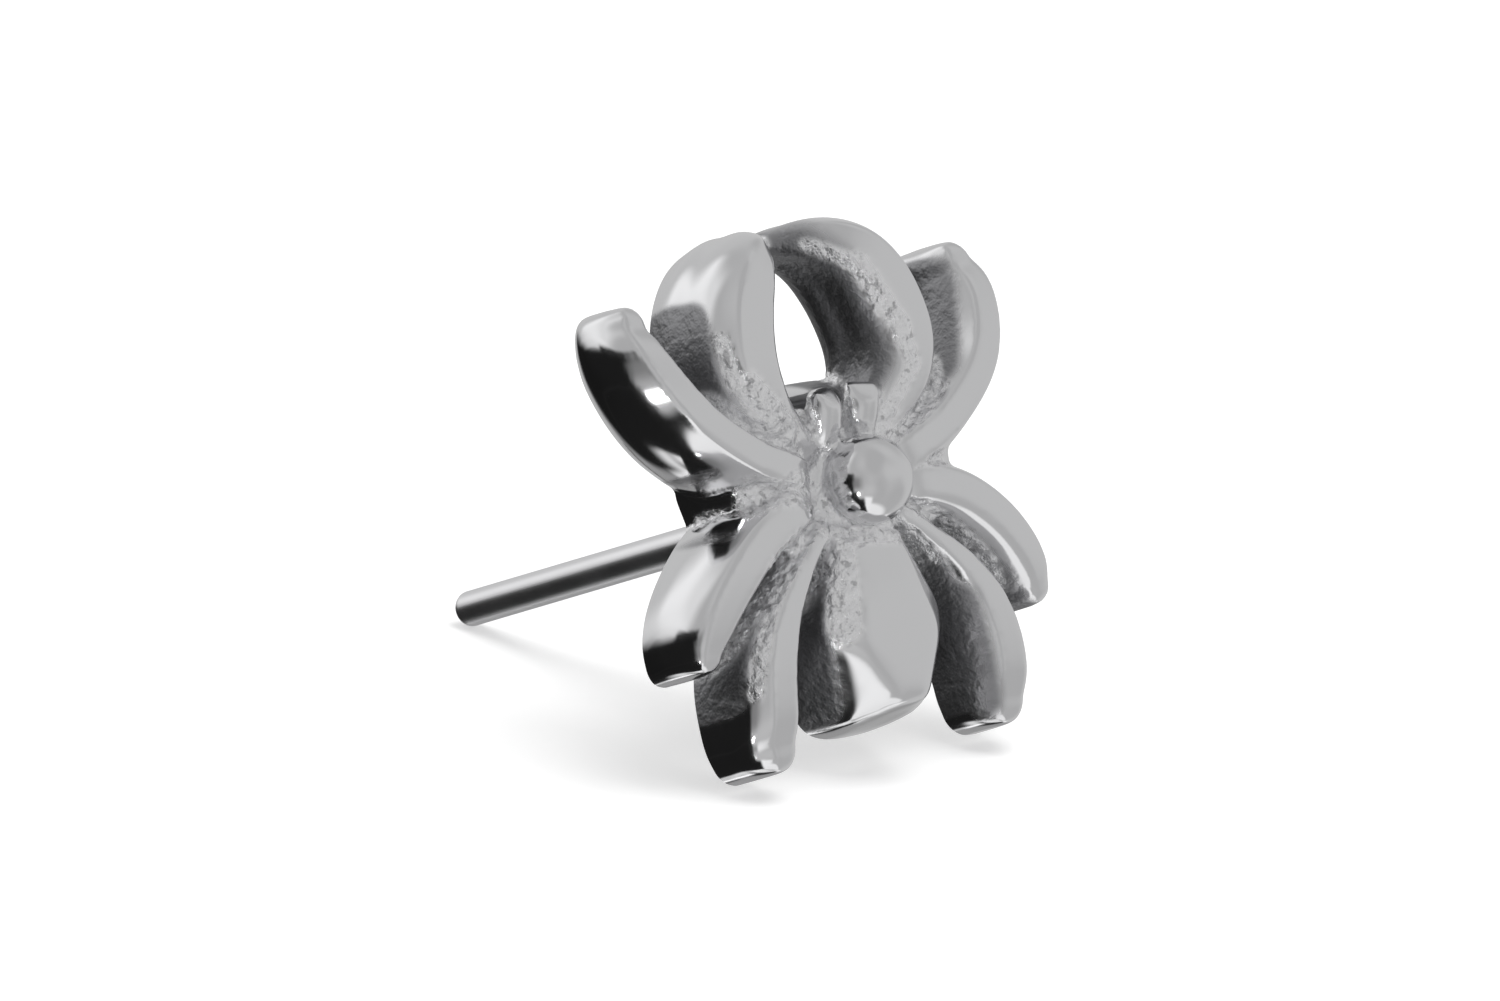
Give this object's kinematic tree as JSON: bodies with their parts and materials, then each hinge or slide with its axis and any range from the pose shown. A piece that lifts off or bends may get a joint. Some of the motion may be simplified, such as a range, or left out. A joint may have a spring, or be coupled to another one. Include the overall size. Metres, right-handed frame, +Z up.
{
  "type": "threadless piercing top",
  "caption": "Cast metal spider with deep ribbon legs, a ball head and a drop-shaped abdomen, on a plain straight pin for a threadless post.",
  "frame": {"origin": "on the surface that the top rests on, in its plane of symmetry, midway between its foremost foot and the end of the pin", "axes": "+Z up, +X to the spider's left side as its front is seen from -Y, +Y towards the end of the pin"},
  "size_m": [0.0082, 0.0099, 0.0084],
  "materials": {
    "cast_steel": "mirror polished, rough as cast in the grooves",
    "drawn_steel": "polished drawn wire"
  },
  "bodies": {
    "root": {"spider": "cast_steel", "pin": "drawn_steel"}
  },
  "joints": []
}
